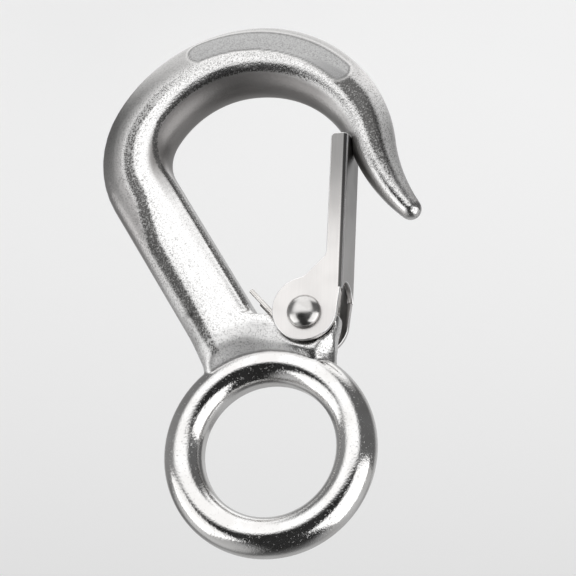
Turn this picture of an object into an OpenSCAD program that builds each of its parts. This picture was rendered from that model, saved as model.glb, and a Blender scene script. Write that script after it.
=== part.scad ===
// Eye hook with latch: a cast hook body with a round eye, a stamped channel latch,
// a domed rivet that the latch turns on, and a double torsion spring that closes it.
// The origin is the centre of the eye. The hook hangs below it, with its front to -Y.

/* [Eye] */
// Inside diameter of the eye
eye_bore_d = 25.4; // [22:0.1:30]
// Diameter of the round bar of the eye
eye_bar_d = 7.6; // [6.8:0.1:8.4]

/* [Hook body] */
// Height of the whole hook, from the top of the eye to the bottom of the bowl
hook_h = 106.1; // [103.5:0.1:109]
// Width of the bowl in the plane of the hook
body_w = 13.8; // [12.5:0.1:15]
// Width of the shank in the plane of the hook
shank_w = 13.3; // [12.5:0.1:14]
// Thickness of the shank and bowl across the hook
body_t = 10.6; // [10:0.1:12]
// Inside radius of the bowl
bowl_r = 17.6; // [17:0.1:19.5]
// Distance of the bowl centre behind the eye centre
bowl_back = 6.4; // [5.5:0.1:7.5]
// Distance of the shank's centreline from the bowl centre
shank_off = 19.15; // [18.2:0.05:20]
// Distance of the shank root behind the eye centre
shank_back = 6.1; // [5.5:0.1:6.6]
// Centreline radius where the shank turns into the bowl
heel_r = 14; // [12.5:0.1:15]

/* [Beak] */
// Angle that the bowl runs on past its lowest point, in degrees
bowl_sweep = 75; // [72:0.5:77]
// Length of the beak along its centreline
beak_l = 16.5; // [15:0.1:18]
// Angle that the beak flares outward, in degrees
beak_flare = 27; // [22:0.5:32]
// Width of the beak at its tip
tip_w = 4.3; // [3.8:0.1:5.5]
// Thickness of the beak at its tip
tip_t = 4.6; // [4:0.1:6]

/* [Latch] */
// Thickness of the latch sheet
sheet_t = 1; // [0.9:0.05:1.1]
// Width across the outer faces of the latch cheeks
latch_w = 10.6; // [10.2:0.1:11.2]
// Depth of the latch channel, web and cheek together
latch_depth = 3.2; // [2.8:0.1:3.6]
// Outer radius of the two bends of the latch
bend_r = 1.1; // [1.05:0.05:1.5]
// Radius of the round cheek ends at the rivet
lobe_r = 6.2; // [6:0.1:6.5]
// Distance from the rivet axis to the centre of those round ends, up the arm
lobe_rise = 0.8; // [0.6:0.1:1]
// Distance from the centre of the round ends to the sloped edge above them
slope_in = 4.7; // [4.4:0.1:5.4]
// Distance from the rivet axis to the outer face of the web
web_offset = 6.9; // [6.8:0.1:7.3]
// Distance from the rivet axis to the knee of the cheeks
knee_drop = 11.3; // [10.5:0.1:13]
// Length of the latch past the point where it meets the beak
latch_lap = 2.8; // [1.5:0.1:3.2]
// Height of the rivet axis below the eye bar
pivot_drop = 4.8; // [4.7:0.1:5.4]
// Distance of the rivet axis in front of the eye centre
pivot_front = 6.7; // [6.4:0.1:7]

/* [Rivet and spring] */
// Diameter of the rivet shaft
rivet_d = 3.6; // [3.2:0.1:4]
// Diameter of the rivet heads
rivet_head_d = 6.4; // [5.8:0.1:7]
// Height of the rivet heads
rivet_head_h = 1.9; // [1.4:0.1:2.4]
// Diameter of the spring wire
wire_d = 0.9; // [0.7:0.05:0.95]
// Diameter of the bosses that the spring coils sit round
boss_d = 7.4; // [7:0.1:7.8]
// Length of the spring legs
leg_l = 11.2; // [10:0.1:11.6]
// Lean of the spring legs from the vertical, in degrees
leg_lean = 43; // [40:1:46]
// Distance from the rivet axis to the bar of the spring
bar_drop = 14; // [12:0.5:18]

/* [Hidden] */
$fn = 64;

// Clearances
hinge_gap = 0.08;  // radial, latch holes on the rivet shaft
side_gap = 0.15;   // cheeks to the lug, and cheeks to the rivet heads
rest_gap = 0.05;   // latch web to its seat on the beak
coil_gap = 0.2;    // coils to their bosses
wire_gap = 0.12;   // wire to what it lies beside or rests on

// Eye
land_cut = 0.15;   // depth of the plain cylindrical land inside the eye
eye_r = (eye_bore_d + eye_bar_d) / 2 - land_cut;
eye_outer_r = eye_r + eye_bar_d / 2;

// Places in the plane of the hook, each as [x, z]
root_sink = 2;     // how far the shank starts inside the eye bar
bowl_c = [bowl_back, eye_outer_r - hook_h + body_w + bowl_r];
pivot = [-pivot_front, -eye_outer_r - pivot_drop];
root_c = [shank_back, -eye_outer_r + root_sink];
mid_r = bowl_r + body_w / 2;

function along(h) = [cos(h), sin(h)];          // heading h, from +X towards +Z
function outward(h) = [-sin(h), cos(h)];       // away from the inside of the hook
function arc_l(r, turn) = r * turn * PI / 180;
function mix(a, b, k) = a + (b - a) * k;
function ease(k) = k <= 0 ? 0 : k >= 1 ? 1 : k * k * (3 - 2 * k);

// Centreline: straight shank, heel arc, bowl arc, then a beak arc that flares outward
from_bowl = root_c - bowl_c;
shank_side = atan2(from_bowl[1], from_bowl[0]) - acos(shank_off / norm(from_bowl));
h_shank = atan2(-cos(shank_side), sin(shank_side));
heel_run = sqrt(pow(mid_r - heel_r, 2) - pow(shank_off - heel_r, 2));
heel_c = bowl_c + (shank_off - heel_r) * outward(h_shank) + heel_run * along(h_shank);
h_heel = atan2(bowl_c[0] - heel_c[0], heel_c[1] - bowl_c[1]);
h_bottom = -180;
h_beak = h_bottom - bowl_sweep;
h_tip = h_beak + beak_flare;
beak_r = beak_l / arc_l(1, beak_flare);
beak_c = bowl_c + (mid_r + beak_r) * outward(h_beak);
shank_end = heel_c + heel_r * outward(h_shank);

// Lengths along the centreline, before and past the lowest point of the bowl
shank_l = norm(shank_end - root_c);
heel_l = arc_l(heel_r, h_shank - h_heel);
fall_l = arc_l(mid_r, h_heel - h_bottom);
bowl_l = arc_l(mid_r, bowl_sweep);

// Widths grow from the shank to the lowest point of the bowl, then taper to the tip
width_power = 1.6;
depth_power = 2.4;
shank_share = 0.6; // share of the way up from the lowest point where the shank's width is reached
function way(s) = s < 0 ? s / (fall_l + heel_l + shank_l) : s / (bowl_l + beak_l);
function width_at(k) = k < 0 ? mix(body_w, shank_w, ease(-k / shank_share))
    : body_w - (body_w - tip_w) * pow(k, width_power);
function depth_at(k) = k < 0 ? body_t : body_t - (body_t - tip_t) * pow(k, depth_power);

// How square a section is, on its outer and inner side: 2 is round. Towards its outer
// edge it also gets thinner, by this share of the thickness
square_body = 3.8;
square_tip = 2.4;
square_shank = 3.2;
round_bowl = 2;
outer_taper = 0.2;
taper_from = -0.3; // where the taper starts, from -1 at the inner edge to 1 at the outer edge
function outer_power(k) = mix(square_body, square_tip, ease(k));
function inner_power(k) = mix(round_bowl, square_shank, ease(-k));
function tapered(u) = 1 - outer_taper * pow(max(0, u - taper_from) / (1 - taper_from), 2);

// Stations of the centreline: [x, z, heading, share of the way: -1 at the root, 1 at the tip]
shank_steps = 6;
heel_steps = 8;
bowl_steps = 34;
beak_steps = 10;
stations = concat(
    [for (i = [0 : shank_steps - 1]) let (k = i / shank_steps)
        concat(mix(root_c, shank_end, k), [h_shank, way(-fall_l - heel_l - shank_l * (1 - k))])],
    [for (i = [0 : heel_steps - 1]) let (k = i / heel_steps, h = mix(h_shank, h_heel, k))
        concat(heel_c + heel_r * outward(h), [h, way(-fall_l - heel_l * (1 - k))])],
    [for (i = [0 : bowl_steps - 1]) let (h = mix(h_heel, h_beak, i / bowl_steps))
        concat(bowl_c + mid_r * outward(h), [h, way(arc_l(mid_r, h_bottom - h))])],
    [for (i = [0 : beak_steps]) let (h = mix(h_beak, h_tip, i / beak_steps))
        concat(beak_c - beak_r * outward(h), [h, way(bowl_l + beak_l * i / beak_steps)])]);

// Sections: squarer on the outer side of the hook, round on the inner side
ring_steps = 40;
function bend_round(c, p) = sign(c) * pow(abs(c), 2 / p);
function section(w, t, k) = [for (i = [0 : ring_steps - 1])
    let (a = 360 * i / ring_steps, p = cos(a) > 0 ? outer_power(k) : inner_power(k),
        u = bend_round(cos(a), p))
    [w / 2 * u, t / 2 * bend_round(sin(a), p) * tapered(u)]];
function placed(at, h, sec) = [for (q = sec)
    [at[0] + q[0] * outward(h)[0], q[1], at[1] + q[0] * outward(h)[1]]];

// Rounded nose past the last station
nose_steps = 5;
tip_at = beak_c - beak_r * outward(h_tip);
nose_rings = [for (i = [1 : nose_steps]) let (a = 86 * i / nose_steps)
    placed(tip_at + tip_w / 2 * sin(a) * along(h_tip), h_tip,
           section(tip_w * cos(a), tip_t * cos(a), 1))];
body_rings = concat(
    [for (s = stations) placed([s[0], s[1]], s[2],
        section(width_at(s[3]), depth_at(s[3]), s[3]))],
    nose_rings);

// Lug between the cheeks, with a boss on each side that carries a coil
cheek_in = latch_w / 2 - sheet_t;
lug_base_t = 2 * (cheek_in - side_gap);
lug_t = 3.4;
lug_r = 5.1;
coil_r = boss_d / 2 + coil_gap + wire_d / 2;
coil_room = 0.4;   // space round the coils for the wire to spread
coil_clear_r = coil_r + wire_d / 2 + coil_room;

// Neck between the eye and the shank, in level slices with round ends. It is thinner
// where the cheeks lie over it, and fades to the thickness of the shank behind them
neck_steps = 6;
neck_thin = lobe_r + 0.8;  // how far the thin part reaches behind the rivet axis
neck_flat = 0.6;   // half the flat between the two rounded edges at each end
neck_fade = 4.2;     // length over which the thickness changes
end_steps = 9;
function quarter(x, t, c) = let (r = t / 2 - neck_flat)
    [for (i = [0 : end_steps]) let (a = 90 * (c + i / end_steps))
        [x + r * cos(a), (c < 2 ? neck_flat : -neck_flat) + r * sin(a)]];
function neck_outline(x0, x1) = let (
    front = x0 + lug_base_t / 2 - neck_flat,
    back = x1 - body_t / 2 + neck_flat,
    thin = pivot[0] + neck_thin)
    concat(
        quarter(back, body_t, 0),
        [[thin + neck_fade, body_t / 2], [thin, lug_base_t / 2]],
        quarter(front, lug_base_t, 1),
        quarter(front, lug_base_t, 2),
        [[thin, -lug_base_t / 2], [thin + neck_fade, -body_t / 2]],
        quarter(back, body_t, 3));
neck_top = -eye_r * 0.8;
neck_low = pivot[1] - 0.5;  // floor of the slot between the lug and the shank
flank = 1.5;       // how far the back of the neck flares into the eye
shank_edge = root_c + shank_w / 2 * outward(h_shank);
shank_slope = along(h_shank)[0] / along(h_shank)[1];
function neck_front(k) = mix(-eye_r * 0.6, -pivot_front - lobe_r + 0.3, ease(k));
function neck_back(k, z) =
    shank_edge[0] + (z - shank_edge[1]) * shank_slope + flank * pow(1 - k, 2) - 0.1;
neck_rings = [for (i = [0 : neck_steps])
    let (k = i / neck_steps, z = mix(neck_top, neck_low, k), x0 = neck_front(k), x1 = neck_back(k, z))
    [for (q = neck_outline(x0, x1)) [q[0], q[1], z]]];

// Where the latch web meets the beak, and the turn of the closed latch about the rivet
seat_share = 0.1;  // share of the beak length
h_seat = mix(h_beak, h_tip, seat_share);
seat_w = width_at(way(bowl_l + beak_l * seat_share));
seat = beak_c - (beak_r + seat_w / 2) * outward(h_seat) - pivot;
web_reach = sqrt(seat * seat - pow(web_offset + rest_gap, 2));
latch_turn = atan2(seat[1], seat[0]) - atan2(-web_reach, -web_offset - rest_gap);
latch_l = web_reach + latch_lap;

// Latch, in its own plane: rivet axis at [0, 0], arm towards -Z, web towards -X
arm_x = latch_depth - web_offset;
web_top = -7.1;    // top of the arch at the upper end of the web
web_foot = 2.4;    // height of the arch
end_crown = 0.4;   // how far the end of the web bulges
corner_r = 0.8;    // rounded corner at the end of each cheek

// Edge of a cheek from the arm to its round end: a rounded knee, a slope, a rounded waist
knee_round = 1.5;
waist_round = 2.5;
lobe_c = [0, -lobe_rise];
knee = [arm_x, -knee_drop] - lobe_c;
h_slope = atan2(knee[1], knee[0]) + acos(slope_in / norm(knee));
knee_c = [arm_x + knee_round,
    (slope_in + knee_round - (arm_x + knee_round) * cos(h_slope)) / sin(h_slope) - lobe_rise];
waist_run = sqrt(pow(lobe_r + waist_round, 2) - pow(slope_in + waist_round, 2));
waist_c = lobe_c + (slope_in + waist_round) * along(h_slope) + waist_run * along(h_slope - 90);
h_waist = atan2(lobe_c[1] - waist_c[1], lobe_c[0] - waist_c[0]);
edge_steps = 6;
cheek_edge_points = concat(
    [for (i = [0 : edge_steps])
        knee_c + knee_round * along(mix(180, h_slope + 180, i / edge_steps))],
    [for (i = [0 : edge_steps])
        waist_c + waist_round * along(mix(h_slope + 180, h_waist, i / edge_steps))]);

// Sunken panel on the front of the bowl, with a floor that follows the tapered face
panel_r = mid_r + body_w * 0.2;
panel_w = body_w * 0.34;
panel_depth = 0.55;
panel_sweep = 64;
panel_c = bowl_c + [1.2, 0];  // centre of the panel's arc, so that it follows the taper of the beak
function face_at(r) = let (u = (r - mid_r) / (body_w / 2))
    body_t / 2 * pow(1 - pow(u, square_body), 1 / square_body) * tapered(u);
panel_turn = 11.5;    // the panel is centred this far past the lowest point

// Spring: leg against the neck, coil, arm up the channel, bar across the web, and the same back
side_y = cheek_in - wire_gap - wire_d / 2;
coil_y = lug_t / 2 + wire_gap + wire_d / 2;
h_leg = leg_lean - 90;
a_leg = h_leg + 90;
leg_end = coil_r * along(a_leg) + leg_l * along(h_leg);
bar_local = [-web_offset + sheet_t + wire_gap + wire_d / 2, -bar_drop];
bar_end = [bar_local[0] * cos(latch_turn) - bar_local[1] * sin(latch_turn),
           bar_local[0] * sin(latch_turn) + bar_local[1] * cos(latch_turn)];
coil_rounds = 2;   // whole turns added to the part turn between leg and arm
a_bar = atan2(bar_end[1], bar_end[0]) 
    - acos(coil_r / norm(bar_end)) + 360 * coil_rounds;
coil_steps = 26;
bar_bend = 0.9;
half_spring = concat(
    [[leg_end[0], -side_y, leg_end[1]]],
    [for (i = [0 : coil_steps]) let (a = mix(a_leg, a_bar, i / coil_steps))
        [coil_r * cos(a), -mix(side_y, coil_y, i / coil_steps), coil_r * sin(a)]],
    [for (i = [0 : 4]) let (a = 90 * i / 4, d = bar_bend * (1 - sin(a)) / bar_drop)
        [bar_end[0] * (1 - d), -coil_y + bar_bend * (1 - cos(a)), bar_end[1] * (1 - d)]]);
wire_path = concat(half_spring,
    [for (i = [len(half_spring) - 1 : -1 : 0]) let (p = half_spring[i]) [p[0], -p[1], p[2]]]);

// Rings of points swept along a path, with the frame carried from point to point
wire_sides = 8;
function unit(v) = v / norm(v);
function heading_at(path, i) =
    unit(path[min(i + 1, len(path) - 1)] - path[max(i - 1, 0)]);
function carry(path, i, n) = let (t = heading_at(path, i), m = unit(n - (n * t) * t))
    i == len(path) - 1 ? [m] : concat([m], carry(path, i + 1, m));
function tube_rings(path, r) = let (normals = carry(path, 0, [0, 1, 0]))
    [for (i = [0 : len(path) - 1])
        let (n = normals[i], b = cross(n, heading_at(path, i)))
        [for (j = [0 : wire_sides - 1]) let (a = 360 * j / wire_sides)
            path[i] + r * (cos(a) * n + sin(a) * b)]];

// Skins rings of points into a closed solid
module loft(rings) {
    n = len(rings[0]);
    m = len(rings);
    polyhedron(
        points = [for (r = rings) each r],
        faces = concat(
            [[for (j = [n - 1 : -1 : 0]) j]],
            [for (i = [0 : m - 2], j = [0 : n - 1])
                [i * n + j, i * n + (j + 1) % n, (i + 1) * n + (j + 1) % n, (i + 1) * n + j]],
            [[for (j = [0 : n - 1]) (m - 1) * n + j]]));
}

// An outline in the plane of the hook, extruded from y0 to y1
module plate(y0, y1) {
    translate([0, y1, 0])
        rotate([90, 0, 0])
            linear_extrude(height = y1 - y0)
                children();
}

// A round bar or hole through the thickness of the hook
module cross_bar(at, r, y0, y1) {
    translate([at[0], y1, at[1]])
        rotate([90, 0, 0])
            cylinder(r = r, h = y1 - y0);
}

module at_pivot() {
    translate([pivot[0], 0, pivot[1]])
        children();
}

module at_latch() {
    at_pivot()
        rotate([0, -latch_turn, 0])
            children();
}

module eye_ring() {
    rotate([90, 0, 0])
        rotate_extrude($fn = 96)
            translate([eye_r, 0])
                circle(d = eye_bar_d);
}

// Clears the neck off the round bar of the eye, with a slope all round it
module eye_slope() {
    slope_start = [eye_r + eye_bar_d * 0.23, eye_bar_d * 0.41];
    slope_end = eye_outer_r + 0.8;
    rotate([90, 0, 0])
        rotate_extrude($fn = 96)
            for (y = [-1, 1])
                polygon([
                    [0, 0], [eye_r, 0], [slope_start[0], y * slope_start[1]],
                    [slope_end, y * body_t / 2], [slope_end, y * body_t], [0, y * body_t]]);
}

module lug() {
    plate(-lug_t / 2, lug_t / 2) {
        translate(pivot)
            circle(r = lug_r);
        translate([pivot[0] - lug_r, pivot[1]])
            square([2 * lug_r, -pivot[1] - eye_r]);
    }
    cross_bar(pivot, boss_d / 2, -lug_base_t / 2, lug_base_t / 2);
}

// Recesses on both sides for the coils and their legs
module coil_recess() {
    for (y = [-1, 1]) {
        cross_bar(pivot, coil_clear_r, y > 0 ? lug_t / 2 : -body_t, y > 0 ? body_t : -lug_t / 2);
        plate(y > 0 ? lug_t / 2 : -body_t, y > 0 ? body_t : -lug_t / 2)
            translate(pivot)
                rotate(h_leg)
                    square([leg_l / 2, coil_r + wire_d / 2 + wire_gap]);
    }
}

// Flat on the inner side of the beak, where the closed latch rests
module beak_seat() {
    at_latch()
        translate([-web_offset - rest_gap, -body_t / 2, -latch_l - end_crown - 0.5])
            cube([web_offset, body_t, latch_lap * 4]);
}

// Bare sunken panel with round ends
module name_panel() {
    r_in = panel_r - panel_w / 2;
    r_out = panel_r + panel_w / 2;
    translate([panel_c[0], 0, panel_c[1]])
        rotate([90, 0, 0])
            intersection() {
                rotate_extrude($fn = 96)
                    polygon([
                        [r_in, face_at(r_in) - panel_depth], [r_out, face_at(r_out) - panel_depth],
                        [r_out, body_t], [r_in, body_t]]);
                union() {
                    rotate([0, 0, -90 - panel_turn - panel_sweep / 2])
                        rotate_extrude(angle = panel_sweep, $fn = 96)
                            translate([r_in, 0])
                                square([panel_w, body_t]);
                    for (a = [-1, 1])
                        rotate([0, 0, -90 - panel_turn + a * panel_sweep / 2])
                            translate([panel_r, 0])
                                cylinder(d = panel_w, h = body_t);
                }
            }
}

module hook_body() {
    color("silver")
    difference() {
        union() {
            difference() {
                union() {
                    loft(body_rings);
                    loft(neck_rings);
                }
                eye_slope();
                coil_recess();
            }
            lug();
            eye_ring();
        }
        cross_bar([0, 0], eye_bore_d / 2, -eye_bar_d, eye_bar_d);
        cross_bar(pivot, rivet_d / 2, -body_t, body_t);
        beak_seat();
        name_panel();
    }
}

module cheek_outline() {
    web_x = -web_offset + bend_r;
    translate(lobe_c)
        circle(r = lobe_r);
    translate([arm_x - corner_r, -latch_l + corner_r])
        circle(r = corner_r);
    polygon(concat(
        [[web_x, web_top + web_foot], [web_x, -latch_l], [arm_x - corner_r, -latch_l],
         [arm_x, -latch_l + corner_r]],
        cheek_edge_points,
        [lobe_c, [-lobe_r, -lobe_rise], [-web_offset + 0.3, web_top + web_foot]]));
}

// Cross-section of the web with its two bends, looking down the arm
module web_section() {
    difference() {
        union() {
            translate([bend_r, -latch_w / 2])
                square([0.2, latch_w]);
            translate([0, -latch_w / 2 + bend_r])
                square([bend_r, latch_w - 2 * bend_r]);
            for (y = [-1, 1])
                translate([bend_r, y * (latch_w / 2 - bend_r)])
                    circle(r = bend_r);
        }
        translate([sheet_t, -cheek_in])
            square([2 * bend_r, 2 * cheek_in]);
        translate([bend_r + 0.2, -latch_w])
            square([2 * bend_r, 2 * latch_w]);
    }
}

module latch_web() {
    crown_w = latch_w / 2 - bend_r;
    crown_r = (crown_w * crown_w + end_crown * end_crown) / (2 * end_crown);
    arch_r = (cheek_in * cheek_in + web_foot * web_foot) / (2 * web_foot);
    difference() {
        translate([-web_offset, 0, -latch_l])
            linear_extrude(height = latch_l + web_top + web_foot)
                web_section();
        translate([-web_offset - 1, 0, web_top + arch_r])
            rotate([0, 90, 0])
                cylinder(r = arch_r, h = 2 * bend_r + 1);
    }
    intersection() {
        translate([-web_offset, 0, -latch_l - end_crown + crown_r])
            rotate([0, 90, 0])
                cylinder(r = crown_r, h = sheet_t);
        translate([-web_offset, -crown_w, -latch_l - end_crown])
            cube([sheet_t, 2 * crown_w, 2 * end_crown]);
    }
}

module latch() {
    color("gainsboro")
    at_latch()
    difference() {
        union() {
            plate(cheek_in, latch_w / 2)
                cheek_outline();
            plate(-latch_w / 2, -cheek_in)
                cheek_outline();
            latch_web();
        }
        cross_bar([0, 0], rivet_d / 2 + hinge_gap, -latch_w, latch_w);
    }
}

// Shaft with a domed head on each end
module rivet() {
    rim_h = rivet_head_h * 0.45;
    dome_h = rivet_head_h - rim_h;
    dome_r = (rivet_head_d * rivet_head_d / 4 + dome_h * dome_h) / (2 * dome_h);
    head_y = latch_w / 2 + side_gap;
    color("lightgray") {
        cross_bar(pivot, rivet_d / 2, -head_y, head_y);
        at_pivot()
            for (a = [-90, 90])
                rotate([a, 0, 0])
                    translate([0, 0, head_y])
                        intersection() {
                            cylinder(d = rivet_head_d, h = rivet_head_h);
                            translate([0, 0, rivet_head_h - dome_r])
                                sphere(r = dome_r);
                        }
    }
}

module spring() {
    color("dimgray")
    at_pivot()
        loft(tube_rings(wire_path, wire_d / 2));
}

hook_body();
latch();
rivet();
spring();
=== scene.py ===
# %% [markdown]
# # An eye hook with latch
# A cast steel hook for light rigging: a round eye to hang it by, a deep bowl for the
# load, and a sprung latch that keeps the load in. It has four pieces: the cast body, the
# pressed latch, the rivet that the latch turns on, and the wire spring that closes it.
# The solids are loaded as a fixed frame, so that every new piece is made where its solid is.

# %% Load the frame
import math

import bpy
import numpy as np
from mathutils import Matrix, Vector


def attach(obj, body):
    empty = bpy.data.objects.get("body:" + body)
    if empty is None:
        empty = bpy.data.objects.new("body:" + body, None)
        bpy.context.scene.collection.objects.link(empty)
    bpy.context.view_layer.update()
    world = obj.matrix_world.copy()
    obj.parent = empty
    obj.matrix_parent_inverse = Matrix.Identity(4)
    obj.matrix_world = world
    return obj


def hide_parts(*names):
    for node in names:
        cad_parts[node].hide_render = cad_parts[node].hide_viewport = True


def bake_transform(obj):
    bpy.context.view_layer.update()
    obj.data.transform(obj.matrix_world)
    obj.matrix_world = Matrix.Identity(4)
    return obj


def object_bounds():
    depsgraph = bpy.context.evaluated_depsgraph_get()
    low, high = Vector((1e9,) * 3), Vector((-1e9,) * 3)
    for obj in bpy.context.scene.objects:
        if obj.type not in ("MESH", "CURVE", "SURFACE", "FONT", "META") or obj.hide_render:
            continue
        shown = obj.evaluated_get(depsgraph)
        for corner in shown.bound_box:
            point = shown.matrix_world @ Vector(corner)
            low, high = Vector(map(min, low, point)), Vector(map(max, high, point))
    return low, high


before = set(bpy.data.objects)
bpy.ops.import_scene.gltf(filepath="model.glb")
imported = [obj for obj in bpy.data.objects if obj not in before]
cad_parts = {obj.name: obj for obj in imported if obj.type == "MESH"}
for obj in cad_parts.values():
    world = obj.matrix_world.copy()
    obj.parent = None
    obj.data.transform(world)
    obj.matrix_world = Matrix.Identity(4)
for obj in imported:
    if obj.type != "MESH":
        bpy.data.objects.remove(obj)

cad_box = [list(map(float, corner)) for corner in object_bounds()]
for name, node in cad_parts.items():
    print(name, len(node.data.vertices), "vertices")
MM = 0.001
print("whole hook, mm:", [round((h - l) / MM, 1) for l, h in zip(*cad_box)])

# %% [markdown]
# ## Small tools
# An operator acts on all that is selected, so nothing stays selected between steps. The first
# three helpers do what a hand does: let go of everything and pick one object, apply a modifier,
# and weld a copy of a solid. The last one fades softly from 0 to 1, for what is painted on a
# mesh.

# %% Pick, apply, weld and fade
def pick(piece):
    for other in bpy.context.selected_objects:
        other.select_set(False)
    piece.select_set(True)
    bpy.context.view_layer.objects.active = piece


def finish_with(piece, kind, **settings):
    pick(piece)
    bpy.ops.object.modifier_add(type=kind)
    modifier = piece.modifiers[-1]
    for key, value in settings.items():
        setattr(modifier, key, value)
    bpy.ops.object.modifier_apply(modifier=modifier.name)
    print(piece.name, kind.lower(), len(piece.data.vertices), "vertices")


def merged_copy(node, name):
    """A solid's mesh is loose triangles, so its copy is welded before any other step."""
    piece = bpy.data.objects.new(name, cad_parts[node].data.copy())
    bpy.context.scene.collection.objects.link(piece)
    pick(piece)
    bpy.ops.object.mode_set(mode="EDIT")
    bpy.ops.mesh.select_all(action="SELECT")
    bpy.ops.mesh.remove_doubles(threshold=0.002 * MM)
    bpy.ops.object.mode_set(mode="OBJECT")
    print(name, "welded to", len(piece.data.vertices), "vertices")
    return piece


def smooth_step(low, high, values):
    t = np.clip((values - low) / (high - low), 0, 1)
    return t * t * (3 - 2 * t)


print("a soft step, a quarter of the way:", round(float(smooth_step(0, 1, 0.25)), 3))

# %% [markdown]
# ## The camera
# The hook is seen from in front, a little from above and from the latch side, with the eye
# nearest the lower edge of the picture, as when it lies in the palm of someone who looks along
# it from the eye. A long lens at 0.4 m keeps the shape calm. The camera's own three axes are
# written down, because they say the view more plainly than three turns would.

# %% Place the camera
camera_at = Vector((-0.1039, -0.3719, 0.1085))
camera_right = Vector((-0.9676, 0.2484, -0.0446))
camera_up = Vector((-0.0446, -0.3419, -0.9387))
camera_back = camera_right.cross(camera_up)
lens = bpy.data.cameras.new("camera")
lens.lens = 136.25
lens.sensor_width = 36
lens.clip_start = 0.01
camera = bpy.data.objects.new("camera", lens)
bpy.context.scene.collection.objects.link(camera)
turn = Matrix((camera_right, camera_up, camera_back)).transposed()
camera.matrix_world = Matrix.Translation(camera_at) @ turn.to_4x4()
bpy.context.scene.camera = camera
print("camera is", round(camera_at.length, 3), "m from the eye")

# %% [markdown]
# ## Light for bright metal
# Polished steel has almost no colour of its own: it shows what stands round it. So the light
# is built as a small studio. Two soft boxes stand in front to the left and right, the pale
# table in front reflects from below, and between the boxes the room is dim, which gives the
# round bars their dark bands. What the camera sees directly stays plain and pale.
#
# The room, the table and every finish are node trees. A helper adds a node with its settings
# and inputs in one line, so that a tree reads as a list of steps.

# %% Add, map and mix nodes
def add(tree, kind, settings=None, **inputs):
    """Adds one node. Inputs are values, or sockets to link from, by name or as i0, i1 and on."""
    node = tree.nodes.new(kind)
    for key, value in (settings or {}).items():
        setattr(node, key, value)
    for key, value in inputs.items():
        numbered = key[0] == "i" and key[1:].isdigit()
        socket = node.inputs[int(key[1:]) if numbered else key.replace("_", " ")]
        if isinstance(value, bpy.types.NodeSocket):
            tree.links.new(value, socket)
        else:
            socket.default_value = value
    return node


def math_node(tree, operation, a, b=0.0):
    return add(tree, "ShaderNodeMath", {"operation": operation}, i0=a, i1=b).outputs[0]


def map_range(tree, value, from_min, from_max, to_min=0.0, to_max=1.0, kind="LINEAR"):
    return add(tree, "ShaderNodeMapRange", {"interpolation_type": kind}, Value=value,
               From_Min=from_min, From_Max=from_max, To_Min=to_min, To_Max=to_max).outputs[0]


def soft_range(tree, value, from_min, from_max, to_min=0.0, to_max=1.0):
    return map_range(tree, value, from_min, from_max, to_min, to_max, "SMOOTHSTEP")


def mix_value(tree, share, a, b):
    return add(tree, "ShaderNodeMix", {"data_type": "FLOAT"}, i0=share, i2=a, i3=b).outputs[0]


def for_rays(tree, kind, seen, otherwise):
    """Shows one shader to rays of one kind, and another to the rest."""
    rays = add(tree, "ShaderNodeLightPath").outputs
    return add(tree, "ShaderNodeMixShader", i0=rays[kind], i1=otherwise.outputs[0],
               i2=seen.outputs[0])


print("node helpers:", ", ".join(helper.__name__ for helper in (
    add, math_node, map_range, soft_range, mix_value, for_rays)))

# %% [markdown]
# In the metal, the room is dim in front and has three soft glows: left, right and behind. How
# far a direction turns towards each of them gives its tone. Matt things are lit by an even
# light grey, and the camera sees a paler one.

# %% Colours of the room
bpy.context.scene.view_settings.view_transform = "Standard"
world = bpy.data.worlds.new("room")
bpy.context.scene.world = world
world.use_nodes = True
tree = world.node_tree
tree.nodes.clear()
direction = add(tree, "ShaderNodeTexCoord").outputs["Generated"]


def room_tone(towards, dot_from, dot_to, tone_from, tone_to):
    turned = add(tree, "ShaderNodeVectorMath", {"operation": "DOT_PRODUCT"},
                 i0=direction, i1=Vector(towards).normalized()).outputs["Value"]
    return soft_range(tree, turned, dot_from, dot_to, tone_from, tone_to)


dim_front = room_tone((0.05, -0.80, 0.60), -0.05, 0.75, 0.19, 0.025)
glow_left = room_tone((-0.90, 0.35, 0.25), 0.55, 0.98, 0.0, 0.42)
glow_right = room_tone((0.80, -0.10, 0.60), 0.72, 0.96, 0.0, 0.55)
glow_back = room_tone((0.15, 0.95, 0.35), 0.72, 0.97, 0.0, 0.30)
all_glows = math_node(tree, "ADD", math_node(tree, "ADD", glow_left, glow_right), glow_back)
room_total = math_node(tree, "ADD", dim_front, all_glows)
seen_in_metal = add(tree, "ShaderNodeBackground", Color=room_total)
on_matt_things = add(tree, "ShaderNodeBackground", Color=(0.72, 0.72, 0.72, 1))
seen_by_camera = add(tree, "ShaderNodeBackground", Color=(0.93, 0.93, 0.93, 1))
metal_or_matt = for_rays(tree, "Is Glossy Ray", seen_in_metal, on_matt_things)
camera_or_rest = for_rays(tree, "Is Camera Ray", seen_by_camera, metal_or_matt)
add(tree, "ShaderNodeOutputWorld", Surface=camera_or_rest.outputs[0])
print(world.name, "has", len(tree.nodes), "nodes")

# %% [markdown]
# A soft box is an area lamp that is large for its distance, so that its edge in the steel is
# a clean line and its shadow is soft. Each is given by the way it stands from the hook, as
# turn from the front and height above level, and by the angle that it fills.

# %% Two soft boxes
hook_middle = Vector((0.005, 0, -0.033))


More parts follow.
